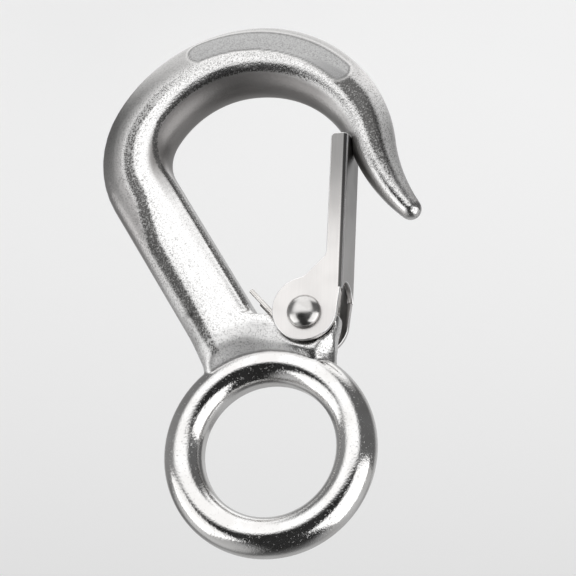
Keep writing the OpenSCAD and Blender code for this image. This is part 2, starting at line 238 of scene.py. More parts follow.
def soft_box(name, turn_deg, height_deg, distance, wide_deg, high_deg, radiance):
    turn, height = math.radians(turn_deg), math.radians(height_deg)
    away = Vector((math.sin(turn) * math.cos(height), -math.cos(turn) * math.cos(height),
                   math.sin(height)))
    box = bpy.data.lights.new(name, "AREA")
    box.shape = "RECTANGLE"
    box.size = 2 * distance * math.tan(math.radians(wide_deg) / 2)
    box.size_y = 2 * distance * math.tan(math.radians(high_deg) / 2)
    box.energy = radiance * math.pi * box.size * box.size_y
    lamp = bpy.data.objects.new(name, box)
    bpy.context.scene.collection.objects.link(lamp)
    lamp.location = hook_middle + away * distance
    lamp.rotation_euler = away.to_track_quat("Z", "Y").to_euler()
    print(name, "%.2f x %.2f m, %.1f W" % (box.size, box.size_y, box.energy))


soft_box("soft_box_left", -66, 25, 0.9, 68, 56, 1.5)
soft_box("soft_box_right", 58, 19, 0.9, 46, 42, 1.3)

# %% [markdown]
# ## The table
# A wide pale disc stands below the hanging hook and takes its shadow. It is a stage for the
# hook and no part of it.

# %% Table under the hook
table_z = cad_box[0][2] - 0.035
bpy.ops.object.select_all(action="DESELECT")
bpy.ops.mesh.primitive_circle_add(vertices=96, radius=3.0, fill_type="NGON", location=(0, 0, 0))
table = bpy.context.active_object
table.name = "table"
bpy.ops.object.mode_set(mode="EDIT")
bpy.ops.transform.translate(value=(0, 0, table_z))
bpy.ops.object.mode_set(mode="OBJECT")
print("table is", round((cad_box[0][2] - table_z) / MM), "mm below the bowl")

# %% [markdown]
# To the eye the table is plain. In the metal it is bright below and in front of the hook, where
# the soft boxes fall on it, half bright behind it, and dim at the sides. So its material works
# out where a spot lies, as a turn round the hook and a distance from it, and gives glossy rays a
# tone by that.

# %% Material: pale table
pale_table = bpy.data.materials.new("pale_table")
pale_table.use_nodes = True
tree = pale_table.node_tree
tree.nodes.clear()
spot = add(tree, "ShaderNodeTexCoord").outputs["Object"]
sides = add(tree, "ShaderNodeSeparateXYZ", i0=spot).outputs
around = math_node(tree, "ARCTAN2", sides["X"], math_node(tree, "MULTIPLY", sides["Y"], -1.0))
level_spot = add(tree, "ShaderNodeVectorMath", {"operation": "MULTIPLY"},
                 i0=spot, i1=(1, 1, 0)).outputs["Vector"]
far_out = add(tree, "ShaderNodeVectorMath", {"operation": "LENGTH"},
              i0=level_spot).outputs["Value"]
beneath = soft_range(tree, far_out, 0.055, 0.1, 1.0, 0.0)
in_front = math_node(tree, "MULTIPLY", soft_range(tree, around, -0.66, -0.3),
                     soft_range(tree, around, 0.6, 1.05, 1.0, 0.0))
near_enough = soft_range(tree, far_out, 0.55, 1.1, 1.0, 0.0)
lit_front = math_node(tree, "MULTIPLY", in_front, near_enough)
lit_back = soft_range(tree, math_node(tree, "ABSOLUTE", around), 2.1, 2.7, 0.0, 0.35)
lit_all = math_node(tree, "MAXIMUM", lit_front, lit_back)
bright = math_node(tree, "MAXIMUM", lit_all, beneath)
dim_side = soft_range(tree, sides["X"], -0.05, 0.3, 0.15, 0.3)
in_metal = add(tree, "ShaderNodeEmission", Color=mix_value(tree, bright, dim_side, 1.4))
matt = add(tree, "ShaderNodeBsdfDiffuse", Color=(0.90, 0.90, 0.90, 1))
table_mix = for_rays(tree, "Is Glossy Ray", in_metal, matt)
add(tree, "ShaderNodeOutputMaterial", Surface=table_mix.outputs[0])
table.data.materials.append(pale_table)
print(pale_table.name, "has", len(tree.nodes), "nodes")

# %% [markdown]
# ## Effects that several finishes share
# Each effect is a node group with named inputs, so that one change improves every piece. A
# group gives out only colours, masks and heights; the shader itself stays in the material.
#
# **Tumbled grain** is what is left of a casting's skin once it has been tumbled with
# stones and buffed: tiny pits and dull patches. A fine noise makes the pits, and a broad one says
# where the buff has reached less.

# %% Node group: tumbled grain
def new_group(name, sockets_in, sockets_out):
    """Starts a group; gives its tree, the sockets that come in and those that go out."""
    group = bpy.data.node_groups.new(name, "ShaderNodeTree")
    for label, kind, value in sockets_in:
        socket = group.interface.new_socket(name=label, in_out="INPUT", socket_type=kind)
        if value is not None:
            socket.default_value = value
    for label in sockets_out:
        group.interface.new_socket(name=label, in_out="OUTPUT", socket_type="NodeSocketFloat")
    into = group.nodes.new("NodeGroupInput").outputs
    return group, into, group.nodes.new("NodeGroupOutput").inputs


def noise(tree, vector, scale, detail, roughness):
    return add(tree, "ShaderNodeTexNoise", {"noise_dimensions": "3D"}, Vector=vector,
               Scale=scale, Detail=detail, Roughness=roughness).outputs["Fac"]


grain_group, into, out = new_group(
    "tumbled_grain",
    [("Vector", "NodeSocketVector", None), ("Pit Size", "NodeSocketFloat", 0.5),
     ("Wave Size", "NodeSocketFloat", 4.0), ("Pit Share", "NodeSocketFloat", 0.3)],
    ["Height", "Pits", "Patches"])
tree = grain_group
pit_scale = math_node(tree, "DIVIDE", 1000.0, into["Pit Size"])
wave_scale = math_node(tree, "DIVIDE", 1000.0, into["Wave Size"])
fine = noise(tree, into["Vector"], pit_scale, 3.0, 0.6)
broad = noise(tree, into["Vector"], wave_scale, 2.0, 0.5)
pits = soft_range(tree, fine, 0.42, 0.30)
pit_depth = math_node(tree, "MULTIPLY", pits, into["Pit Share"])
tree.links.new(math_node(tree, "SUBTRACT", fine, pit_depth), out["Height"])
tree.links.new(pits, out["Pits"])
tree.links.new(soft_range(tree, broad, 0.38, 0.62), out["Patches"])
print("group", tree.name, "has", len(tree.nodes), "nodes")

# %% [markdown]
# **Drawn lines** are the fine straight scratches that a belt or a rolling mill leaves along a
# sheet or a wire. A noise that is stretched a long way along one axis gives them.

# %% Node group: drawn lines
lines_group, into, out = new_group(
    "drawn_lines",
    [("Vector", "NodeSocketVector", None), ("Stretch", "NodeSocketVector", (1, 1, 1)),
     ("Line Size", "NodeSocketFloat", 0.2)],
    ["Height", "Streaks"])
tree = lines_group
stretched = add(tree, "ShaderNodeVectorMath", {"operation": "MULTIPLY"},
                i0=into["Vector"], i1=into["Stretch"]).outputs[0]
line_scale = math_node(tree, "DIVIDE", 1000.0, into["Line Size"])
streak_noise = noise(tree, stretched, line_scale, 2.0, 0.55)
tree.links.new(streak_noise, out["Height"])
tree.links.new(map_range(tree, streak_noise, 0.35, 0.65), out["Streaks"])
print("group", tree.name, "has", len(tree.nodes), "nodes")

# %% [markdown]
# ## Steel
# Every finish on the hook is a bare metal with some grain. It starts from the shader that
# Blender puts in a new material, and ends when its roughness, its tone and the height of its
# grain are linked to that shader. Where a finish changes over a piece, a mask is painted on the
# mesh, which is one number at each point, and the material reads it by its name.

# %% Start a metal, read a mask, mix two tones, finish a metal
def new_metal(name, **sizes):
    """Gives the material, its tree, the place on the object, and the grain there."""
    look = bpy.data.materials.new(name)
    look.use_nodes = True
    tree = look.node_tree
    here = add(tree, "ShaderNodeTexCoord").outputs["Object"]
    grain = add(tree, "ShaderNodeGroup", {"node_tree": grain_group}, Vector=here, **sizes)
    return look, tree, here, grain.outputs


def painted(tree, name):
    return add(tree, "ShaderNodeAttribute", {"attribute_name": name}).outputs["Fac"]


def mix_colour(tree, share, a, b):
    """Each of the two is a socket, or red, green and blue."""
    a, b = (c if isinstance(c, bpy.types.NodeSocket) else (*c, 1) for c in (a, b))
    return add(tree, "ShaderNodeMix", {"data_type": "RGBA"}, i0=share, i6=a, i7=b).outputs[2]


def finish_metal(look, roughness, tone, height=None, depth=0.0):
    tree = look.node_tree
    shader = tree.nodes["Principled BSDF"]
    shader.inputs["Metallic"].default_value = 1.0
    tree.links.new(roughness, shader.inputs["Roughness"])
    tree.links.new(tone, shader.inputs["Base Color"])
    if height is not None:
        bump = add(tree, "ShaderNodeBump", Strength=1.0, Distance=depth, Height=height)
        tree.links.new(bump.outputs["Normal"], shader.inputs["Normal"])
    print(look.name, "has", len(tree.nodes), "nodes")


print("metal helpers:", ", ".join(helper.__name__ for helper in (
    new_metal, painted, mix_colour, finish_metal)))

# %% [markdown]
# ## Finish of the cast body
# The casting is stainless steel. The eye is buffed to a mirror, the bowl and shank keep a
# soft tumbled skin, and no stone or buff reaches the floor of the sunken panel and the crease
# under the eye. Next to the crown of the bar runs a band of painted dark reflection on the
# shoulder. Its edge is ragged, so a fine noise is added to its mask before the edge is drawn.
#
# The roughness starts from the tumbled and the buffed skin. Then each mask in turn pulls it
# towards a number of its own.

# %% Cast steel: masks and roughness
cast_steel, tree, here, grain = new_metal(
    "cast_steel", Pit_Size=0.42, Wave_Size=5.0, Pit_Share=0.15)
mask = {name: painted(tree, name) for name in (
    "polish", "hollow", "shoulder", "outer_side", "bowl_side", "beak_side", "pale_crest",
    "inner_side", "flecked", "neck", "panel", "panel_rim", "panel_line")}
speck_size = 0.3
specks = noise(tree, here, 1000 / speck_size, 3.0, 0.65)
scatter = map_range(tree, specks, 0.32, 0.68, -0.55, 0.55)
reach_of_band = map_range(tree, mask["shoulder"], 0.0, 0.2)
ragged = math_node(tree, "ADD", mask["shoulder"],
                   math_node(tree, "MULTIPLY", scatter, reach_of_band))
# The shoulder mask, with its ragged edge, marks a painted dark reflection.
dark_reflection_band = map_range(tree, ragged, 0.3, 0.75)
skin = mix_value(tree, mask["polish"], mix_value(tree, grain["Patches"], 0.16, 0.22),
                 mix_value(tree, grain["Patches"], 0.07, 0.12))
dull_hollow = math_node(tree, "MULTIPLY", mask["hollow"], 0.8)
for where, roughness in (
        (mask["outer_side"], 0.28), (mask["beak_side"], 0.48), (mask["inner_side"], 0.42),
        (mask["neck"], 0.5), (dark_reflection_band, 0.34), (dull_hollow, 0.4), (mask["panel"], 0.42),
        (grain["Pits"], 0.4)):
    skin = mix_value(tree, where, skin, roughness)
print("masks that the steel reads:", ", ".join(mask))

# %% [markdown]
# The tone is mixed in the same way. Flecks darken the tumbled skin, and the floor of the panel
# is as sandy as the mould left it, with a painted highlight on its rim and a line of painted
# shade inside the rim.

# %% Cast steel: tone and relief
tumbled_and_painted_light = mix_colour(tree, grain["Patches"], (0.67, 0.665, 0.66), (0.75, 0.745, 0.74))
# outer_side, bowl_side and inner_side are painted dark reflection, pale_crest is a painted
# highlight, and the neck's pale tone is painted light over the shade of the crease.
for name, tone in (
        ("outer_side", (0.52, 0.505, 0.50)), ("bowl_side", (0.43, 0.425, 0.42)),
        ("beak_side", (0.72, 0.715, 0.71)), ("pale_crest", (0.82, 0.815, 0.81)),
        ("inner_side", (0.28, 0.27, 0.265)), ("neck", (0.88, 0.875, 0.87))):
    tumbled_and_painted_light = mix_colour(tree, mask[name], tumbled_and_painted_light, tone)
flecks = math_node(tree, "MULTIPLY", mask["flecked"],
                   soft_range(tree, specks, 0.52, 0.36, 0.0, 0.7))
tumbled_and_painted_light = mix_colour(tree, flecks, tumbled_and_painted_light, (0.18, 0.177, 0.173))
buffed = mix_colour(tree, grain["Patches"], (0.68, 0.67, 0.66), (0.75, 0.745, 0.74))
steel = mix_colour(tree, mask["polish"], tumbled_and_painted_light, buffed)
# Painted dark reflection: the shoulder band and the inner edge line are near black.
steel = mix_colour(tree, dark_reflection_band, steel, (0.10, 0.098, 0.096))
# off_neck sets how strong the painted shade in the hollows is, weaker on the neck.
off_neck = math_node(tree, "SUBTRACT", 0.6, math_node(tree, "MULTIPLY", mask["neck"], 0.6))
sand = map_range(tree, specks, 0.40, 0.60, 0.30, 0.44)
cast_floor = add(tree, "ShaderNodeCombineColor", Red=sand, Green=sand, Blue=sand).outputs[0]
pit_share = mix_value(tree, mask["polish"], 0.35, 0.12)
# hollow is painted shade, panel_rim a painted highlight and panel_line painted shade.
for where, strength, tone in (
        (mask["hollow"], off_neck, (0.40, 0.39, 0.38)), (mask["panel"], 0.7, cast_floor),
        (mask["panel_rim"], 0.4, (0.80, 0.79, 0.78)),
        (mask["panel_line"], 0.6, (0.12, 0.118, 0.115)),
        (grain["Pits"], pit_share, (0.25, 0.245, 0.24))):
    steel = mix_colour(tree, math_node(tree, "MULTIPLY", where, strength), steel, tone)
relief = math_node(tree, "MULTIPLY", grain["Height"], mix_value(tree, mask["polish"], 1.0, 0.7))
finish_metal(cast_steel, skin, steel, relief, 0.035 * MM)

# %% [markdown]
# ## The cast body
# The solid is the construction, with flat facets along its round parts. A casting has none, so
# its copy is welded, rebuilt as one even skin by a voxel remesh, and relaxed. That also gives
# each inner corner the small round that molten metal and wax leave there.

# %% Even skin for the casting
body = merged_copy("hook_body", "hook_casting")
finish_with(body, "REMESH", mode="VOXEL", voxel_size=0.36 * MM,
            adaptivity=0.0)
finish_with(body, "SMOOTH", factor=0.5, iterations=8)

# %% [markdown]
# The crease round the eye is cast with a wider round than the rest. The same relaxing, held to
# a group of points that fades at its edge, widens it.

# %% Wider round in the crease
def places(mesh):
    values = np.empty(len(mesh.vertices) * 3)
    mesh.vertices.foreach_get("co", values)
    return values.reshape(-1, 3)


points = places(body.data)
from_eye = np.hypot(points[:, 0], points[:, 2])
crease = (1 - smooth_step(21.3 * MM, 22.6 * MM, from_eye)) * (points[:, 2] < -10 * MM)
group = body.vertex_groups.new(name="crease")
for index in np.nonzero(crease > 0.02)[0]:
    group.add([int(index)], float(crease[index]), "REPLACE")
finish_with(body, "SMOOTH", factor=0.5, iterations=24, vertex_group="crease")
print("points in the crease:", int((crease > 0.5).sum()))

# %% [markdown]
# The eye is a true ring, and a mirror shows the smallest wave, so each point of the skin that
# lies close to the ring is set exactly on it. Further out, where the neck flows in, the weight
# fades, so no step is left.

# %% True up the eye
eye_bore_r = 12.7 * MM
bar_r = 3.8 * MM
land_cut = 0.15 * MM  # what the plain land takes off the bar
eye_r = eye_bore_r + bar_r - land_cut
points = places(body.data)
from_eye = np.hypot(points[:, 0], points[:, 2])
ring_way = np.stack([from_eye - eye_r, points[:, 1]], axis=1)
ring_far = np.linalg.norm(ring_way, axis=1)
weight = 1 - smooth_step(0.15 * MM, 0.45 * MM, np.abs(ring_far - bar_r))
target = ring_way / ring_far[:, None] * bar_r
trued = np.maximum(eye_r + target[:, 0], eye_bore_r)
points[:, 0] += weight * points[:, 0] * (trued / from_eye - 1)
points[:, 2] += weight * points[:, 2] * (trued / from_eye - 1)
points[:, 1] += weight * (target[:, 1] - points[:, 1])
body.data.vertices.foreach_set("co", points.ravel())
body.data.update()
print("points set on the ring:", int((weight > 0.5).sum()))

# %% [markdown]
# Where a surface folds inward, no stone or buff gets in, so it stays dull, and painted shade
# darkens it. The fold is measured at each point as the step from the point to the middle of its
# neighbours, along the normal, and is spread a little so that it has soft edges. The polish needs
# no such measure: it covers the eye, and fades out just off the eye's round bar.

# %% Paint polish and the shade in hollows
def fold_of(mesh, rounds):
    edges = np.empty(len(mesh.edges) * 2, int)
    mesh.edges.foreach_get("vertices", edges)
    a, b = edges.reshape(-1, 2).T
    co = places(mesh)
    normal = np.empty(len(mesh.vertices) * 3)
    mesh.vertex_normals.foreach_get("vector", normal)
    normal = normal.reshape(-1, 3)
    count = np.bincount(a, minlength=len(co)) + np.bincount(b, minlength=len(co))

    def spread(values):
        return (np.bincount(a, values[b], len(co)) + np.bincount(b, values[a], len(co))) / count

    middle = np.stack([spread(co[:, i]) for i in range(3)], axis=1)
    fold = ((middle - co) * normal).sum(1)
    for _ in range(rounds):
        fold = spread(fold)
    return fold


def paint(mesh, name, values):
    layer = mesh.attributes.get(name) or mesh.attributes.new(name, "FLOAT", "POINT")
    layer.data.foreach_set("value", np.asarray(values, np.float32))
    print(name, "mean %.3f" % float(np.mean(values)))


fold = fold_of(body.data, 3) / MM
off_eye = ring_far - bar_r
print("fold, mm, 2nd and 98th hundredth:", np.percentile(fold, [2, 98]).round(4))
paint(body.data, "polish", 1 - smooth_step(0.12 * MM, 0.5 * MM, off_eye))
# The hollow mask makes the folds rougher, and darkens them as painted shade.
paint(body.data, "hollow", smooth_step(0.004, 0.02, fold))

# %% [markdown]
# A painted highlight makes the crown of the bar pale down the shank, and painted dark reflection
# lies on the shoulder next to it and on the satin outer side. So the painter has to know where a
# point lies on the bar. The middle line of the hook is laid out as in the solid: a straight
# shank, a heel, the bowl and the beak, which turns the other way.

# %% Centres of the heel, bowl and beak
def way(turn_deg):
    return np.array([math.cos(math.radians(turn_deg)), math.sin(math.radians(turn_deg))])


bowl_centre = np.array([6.4, -54.55]) * MM
bowl_mid_r = 24.5 * MM
heel_r = 14.0 * MM
shank_off = 19.15 * MM
root = np.array([6.1, -18.15]) * MM
from_root = root - bowl_centre
side_turn = math.degrees(math.atan2(from_root[1], from_root[0]) -
                         math.acos(shank_off / np.linalg.norm(from_root)))
shank_out = way(side_turn)
shank_way = np.array([shank_out[1], -shank_out[0]])
heel_run = math.sqrt((bowl_mid_r - heel_r) ** 2 - (shank_off - heel_r) ** 2)
heel_centre = bowl_centre + (shank_off - heel_r) * shank_out + heel_run * shank_way
heel_end = math.degrees(math.atan2(*(heel_centre - bowl_centre)[::-1]))
shank_end = heel_centre + heel_r * shank_out
bowl_sweep, beak_flare = 75, 27
beak_run = 16.5 * MM
beak_turn = -90 - bowl_sweep
beak_r = beak_run / math.radians(beak_flare)
beak_centre = bowl_centre + (bowl_mid_r + beak_r) * way(beak_turn)
for name, centre in (("heel", heel_centre), ("bowl", bowl_centre), ("beak", beak_centre)):
    print(name, "centre, mm:", (centre / MM).round(2))

# %% [markdown]
# Stations are set close together on that line. Each has the way out of the hook there, half the
# width of the bar, and its share of the way: -1 at the root, 0 at the lowest point of the bowl
# and 1 at the tip of the beak.

# %% Stations on the middle line
def arc(centre, radius, from_deg, to_deg, count):
    turn = np.radians(np.linspace(from_deg, to_deg, count, endpoint=False))
    way_out = np.stack([np.cos(turn), np.sin(turn)], axis=1)
    return centre + radius * way_out, way_out


steps = np.linspace(0, 1, 60, endpoint=False)[:, None]
beak_line, beak_in = arc(beak_centre, beak_r, beak_turn + 180, beak_turn + 180 + beak_flare, 60)
line_parts = [(root + (shank_end - root) * steps, np.repeat(shank_out[None], 60, axis=0)),
              arc(heel_centre, heel_r, side_turn, heel_end, 40),
              arc(bowl_centre, bowl_mid_r, heel_end, beak_turn, 240),
              (beak_line, -beak_in)]
line, line_out = (np.concatenate(column) for column in zip(*line_parts))
travel = np.concatenate([[0], np.cumsum(np.linalg.norm(np.diff(line, axis=0), axis=1))])
lowest = travel[np.argmin(line[:, 1])]
share = np.where(travel < lowest, travel / lowest - 1, (travel - lowest) / (travel[-1] - lowest))
half_bar, tip_loss = 6.9 * MM, 4.75 * MM
half_width = half_bar - tip_loss * np.maximum(share, 0) ** 1.6
print("middle line, mm:", round(travel[-1] / MM, 1), "lowest at", round(lowest / MM, 1))

# %% [markdown]
# Each point of the skin finds its nearest station. From there it has its place along the hook,
# and its place across the bar, from -1 at the inner edge to 1 at the outer edge. The points are
# taken in batches, because the table of all distances would be large.

# %% Place of each point along and across the bar
flat_points = points[:, [0, 2]]
nearest = np.zeros(len(points), int)
batch, every = 20000, 2
for start in range(0, len(points), batch):
    part = flat_points[start:start + batch]
    gap = ((part[:, None, :] - line[None, ::every, :]) ** 2).sum(2)
    nearest[start:start + batch] = gap.argmin(1) * every
across = ((flat_points - line[nearest]) * line_out[nearest]).sum(1) / half_width[nearest]
along = share[nearest]
on_bar = smooth_step(1.0 * MM, 3.0 * MM, off_eye)
print("points on the bar:", int((on_bar > 0.5).sum()), "of", len(points))

# %% [markdown]
# The painted dark reflection on the shoulder is a band with a middle, a half width and a depth
# that change along the hook. Each is a short list of pairs: a place along, and the value there.
# A thin line of the same painted dark reflection runs along the inner edge.

# %% Paint the dark reflection on the shoulder
def by_place(*pairs):
    return np.interp(along, *zip(*pairs))


shoulder_mid = by_place((-1, 0.5), (-0.66, 0.46), (-0.52, 0.06), (0, -0.02), (0.25, 0.05),
                        (0.5, 0.22), (1, 0.3))
shoulder_half = by_place((-1, 0.13), (-0.85, 0.17), (-0.66, 0.21), (-0.52, 0.19), (-0.2, 0.13),
                         (0.2, 0.14), (0.5, 0.36), (1, 0.3))
shoulder_depth = by_place((-1, 0.35), (-0.9, 0.8), (-0.5, 0.8), (-0.3, 0.55), (-0.1, 0.15),
                          (0.2, 0.3), (0.4, 0.9), (0.7, 0.85), (0.85, 0.5), (1, 0))
off_shoulder = (across - shoulder_mid) / shoulder_half
shoulder = (1 - smooth_step(0.55, 1.25, np.abs(off_shoulder))) * shoulder_depth * on_bar
line_at = by_place((-0.52, -0.86), (-0.42, -0.72), (-0.3, -0.5), (0.4, -0.46))
inner_line = (1 - smooth_step(0.035, 0.095, np.abs(across - line_at))) * on_bar * \
    by_place((-0.935, 0), (-0.9, 0.85), (-0.4, 0.85), (0.2, 0.7), (0.35, 0))
# This mask is painted dark reflection, on the shoulder and along the inner edge.
paint(body.data, "shoulder", np.maximum(shoulder, inner_line))

# %% [markdown]
# Outside the shoulder the bar is satin, and painted dark reflection greys it, most round the
# bowl; on the beak and the upper shank its tone stays paler. Inside it, a painted highlight makes
# the crest pale down the shank, and painted dark reflection makes the inner side grey.

# %% Paint the sides and the crest
outer_side = smooth_step(0.6, 1.3, off_shoulder) * on_bar
bowl_side = outer_side * by_place((-0.6, 0), (-0.35, 1), (0.35, 1), (0.5, 0))
beak_side = smooth_step(0.5, 1.1, off_shoulder) * on_bar * \
    by_place((-1, 1), (-0.8, 1), (-0.6, 0), (0.35, 0), (0.55, 1), (0.9, 1), (1, 0))
pale_crest = (1 - smooth_step(0.1, 0.35, across)) * on_bar * \
    by_place((-1, 1), (-0.45, 1), (-0.2, 0.4), (0, 0))
inner_side = smooth_step(0.42, 0.62, -across) * on_bar * by_place(
    (-1, 0), (-0.6, 0.2), (-0.45, 1), (0.35, 1), (0.5, 0.7), (0.8, 0.7), (0.95, 0.2), (1, 0))
# outer_side, bowl_side and inner_side hold painted dark reflection, pale_crest a painted
# highlight.
paint(body.data, "outer_side", outer_side)
paint(body.data, "bowl_side", bowl_side)
paint(body.data, "beak_side", beak_side)
paint(body.data, "pale_crest", pale_crest)
paint(body.data, "inner_side", inner_side)

# %% [markdown]
# The panel is a slot along an arc, with round ends. The distance from the arc, which past its
# ends is the distance from its end, is the same all along the panel's outline, so one number
# draws the floor, the rim and the line inside the rim.

# %% Paint the sunken panel
panel_r = 27.26 * MM
panel_half_deg = 32
panel_mid_deg = -180 + 11.5
panel_centre = bowl_centre + np.array([1.2, 0]) * MM
from_centre = (flat_points - panel_centre).T
off_mid = np.abs((np.degrees(np.arctan2(*from_centre)) - panel_mid_deg + 180) % 360 - 180)
past_end = np.maximum(off_mid - panel_half_deg, 0) * panel_r * math.pi / 180
off_arc = np.hypot(np.hypot(*from_centre) - panel_r, past_end)
front = points[:, 1] < -2.5 * MM


def panel_band(*reach_mm):
    a, b, c, d = (reach * MM for reach in reach_mm)
    return (smooth_step(a, b, off_arc) - smooth_step(c, d, off_arc)) * front


paint(body.data, "panel", (1 - smooth_step(2.1 * MM, 2.4 * MM, off_arc)) * front)
# panel_rim is a painted highlight, and panel_line painted shade, along the panel's edge.
paint(body.data, "panel_rim", panel_band(2.15, 2.4, 2.5, 2.8))
paint(body.data, "panel_line", panel_band(1.75, 1.95, 2.1, 2.25))

# %% [markdown]
# The neck, just under the eye, is brushed, and its pale tone is painted light that lifts the
# shade of the crease. Dark flecks are thickest along the shoulder and round the neck, and there
# are none on the mirror of the eye.

# %% Paint the neck and the flecks
from_eye = np.hypot(points[:, 0], points[:, 2])
neck = (1 - smooth_step(22.8 * MM, 24.6 * MM, from_eye)) * \
    smooth_step(0.12 * MM, 0.5 * MM, off_eye) * (points[:, 2] < 0) * \
    smooth_step(-5.5 * MM, -2 * MM, points[:, 0])
by_shoulder = 1 - smooth_step(1.0, 2.6, np.abs(off_shoulder))
by_eye = 1 - smooth_step(21 * MM, 24 * MM, from_eye)
flecked = 0.15 + 0.85 * by_shoulder + by_place((-1, 0.3), (-0.85, 0)) + 0.45 * by_eye + \
    0.35 * outer_side + 0.3 * pale_crest
off_mirror = smooth_step(0.3 * MM, 0.9 * MM, off_eye)
# The neck mask also carries a pale painted tone that lifts the shade of the crease.
paint(body.data, "neck", neck)
paint(body.data, "flecked", np.clip(flecked, 0, 1) * off_mirror * (1 - 0.35 * neck))

# %% [markdown]
# To dress the casting, it is shaded smooth and given its steel. It rides on the body that holds
# still, and stands for the solid, which stays hidden in its place.

# %% Dress the casting
pick(body)
bpy.ops.object.shade_smooth()
body.data.materials.clear()
body.data.materials.append(cast_steel)
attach(body, "hook")
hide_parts("hook_body")
print("faces:", len(body.data.polygons))

# %% [markdown]
# ## The latch
# The latch is pressed from sheet, so its faces are flat and its edges are sharp but not razor
# sharp: deburring leaves a fine round that catches a line of light. A bevel can follow every
# long edge, but not the short ones across the sheet's thickness, nor the small step where the
# bends end, because there the rounds would run into each other. So each edge is weighed first.

# %% Weigh the edges of the latch
latch = merged_copy("latch", "latch_pressing")
bpy.ops.object.mode_set(mode="EDIT")
bpy.ops.mesh.select_all(action="SELECT")
bpy.ops.mesh.dissolve_limited(angle_limit=math.radians(0.4))
bpy.ops.object.mode_set(mode="OBJECT")
sheet_t = 1.0 * MM
bend_end_z = -29.64 * MM
normals_at = {}
for face in latch.data.polygons:
    for loop in face.loop_indices:
        normals_at.setdefault(latch.data.loops[loop].edge_index, []).append(face.normal.copy())
weights = []
for edge in latch.data.edges:
    one, two = (latch.data.vertices[i].co for i in edge.vertices)
    run = two - one
    across_sheet = max(abs(run.x), abs(run.y)) > 0.99 * run.length and \
        abs(run.length - sheet_t) < 0.03 * MM
    at_bend_end = max(abs(one.z - bend_end_z), abs(two.z - bend_end_z)) < 0.02 * MM
    sharp = normals_at[edge.index][0].angle(normals_at[edge.index][1]) > math.radians(35)
    weights.append(float(sharp and not across_sheet and not at_bend_end))
latch.data.attributes.new("bevel_weight_edge", "FLOAT", "EDGE").data.foreach_set("value", weights)
print("edges to round:", int(sum(weights)), "of", len(weights))

# %% [markdown]
# The bevel puts its new faces in the second material slot, so that they can have a finish of
# their own. Both slots have to be there first, even if they are empty. The flats stay flat in
# the light, because the normals are weighted by the size of the faces.

# %% Round the edges of the latch
latch.data.materials.clear()
for _ in range(2):
    latch.data.materials.append(None)
finish_with(latch, "BEVEL", width=0.15 * MM, segments=3, limit_method="WEIGHT",
            use_clamp_overlap=False, material=1)
pick(latch)
bpy.ops.object.shade_smooth_by_angle(angle=math.radians(35))
finish_with(latch, "WEIGHTED_NORMAL", mode="FACE_AREA", weight=100, keep_sharp=True)

# %% [markdown]
# The press draws the sheet over the two bends and leaves them smoother than the flats. A line of
# painted highlight runs along each bend. The web between them is darkened as painted shade, and
# the inside of the channel more so. Masks say where each of these is.

# %% Paint the bends, the web and the inside
points = places(latch.data)
side = np.abs(points[:, 1])
web_x, half_w, bend_r = -13.6 * MM, 5.3 * MM, 1.1 * MM
bend_x, bend_y = web_x + bend_r, half_w - bend_r
round_bend = np.degrees(np.arctan2(side - bend_y, bend_x - points[:, 0]))
off_bend = np.abs(np.hypot(points[:, 0] - bend_x, side - bend_y) - bend_r)
on_bend = (off_bend < 0.06 * MM) * (round_bend > 8) * (round_bend < 82)
paint(latch.data, "bend", on_bend)
# bend_line is a painted highlight along each bend.
paint(latch.data, "bend_line", on_bend * (round_bend > 10) * (round_bend < 36))
# The web and the inside masks are painted shade.
paint(latch.data, "web", (points[:, 0] < -13.55 * MM) * (side < 4.25 * MM))
paint(latch.data, "inside", (side < 4.33 * MM) * (points[:, 0] > -12.75 * MM))

# %% [markdown]
# The sheet has the satin face of rolled stock, with fine lines that run up and down the latch.
# Towards its free end it is darkened by a painted dark reflection of the beak, and its lines
# show more there.

# %% Material: satin sheet
satin_sheet, tree, here, grain = new_metal(
    "satin_sheet", Pit_Size=0.3, Wave_Size=6.0, Pit_Share=0.1)
lines = add(tree, "ShaderNodeGroup", {"node_tree": lines_group}, Vector=here,
            Stretch=(1.0, 1.0, 0.04), Line_Size=0.3).outputs
# The bend line is a painted highlight, near white.
bend_highlight = painted(tree, "bend_line")
sheet_skin = mix_value(tree, grain["Patches"], 0.30, 0.36)
faint_lines = math_node(tree, "MULTIPLY", lines["Streaks"], 0.15)
for where, roughness in ((faint_lines, 0.24), (painted(tree, "bend"), 0.13), (bend_highlight, 0.34)):
    sheet_skin = mix_value(tree, where, sheet_skin, roughness)
up_and_down = add(tree, "ShaderNodeSeparateXYZ", Vector=here).outputs["Z"]
# A painted dark reflection of the beak darkens the latch towards its free end.
beak_reflection = soft_range(tree, up_and_down, -0.034, -0.058)
sheet_tone = mix_colour(tree, beak_reflection, (0.70, 0.682, 0.67), (0.25, 0.245, 0.242))
clear_lines = math_node(tree, "MULTIPLY", lines["Streaks"], mix_value(tree, beak_reflection, 0.06, 0.3))
# Painted shade: the web is darkened, and the inside of the channel more.
dark_web = math_node(tree, "MULTIPLY", painted(tree, "web"), 0.6)
for where, tone in ((clear_lines, (0.30, 0.293, 0.288)), (dark_web, (0.28, 0.277, 0.275)),
                    (painted(tree, "inside"), (0.17, 0.167, 0.165)), (bend_highlight, (0.94, 0.935, 0.93))):
    sheet_tone = mix_colour(tree, where, sheet_tone, tone)
ridges = math_node(tree, "ADD", math_node(tree, "MULTIPLY", lines["Height"], 0.3),
                   math_node(tree, "MULTIPLY", grain["Height"], 0.5))
finish_metal(satin_sheet, sheet_skin, sheet_tone, ridges, 0.005 * MM)

# %% [markdown]
# The rounded edges get a painted highlight, a near-white tone that makes them the brightest
# lines on the latch. They are too narrow for a relief, and have only small nicks in their tone.

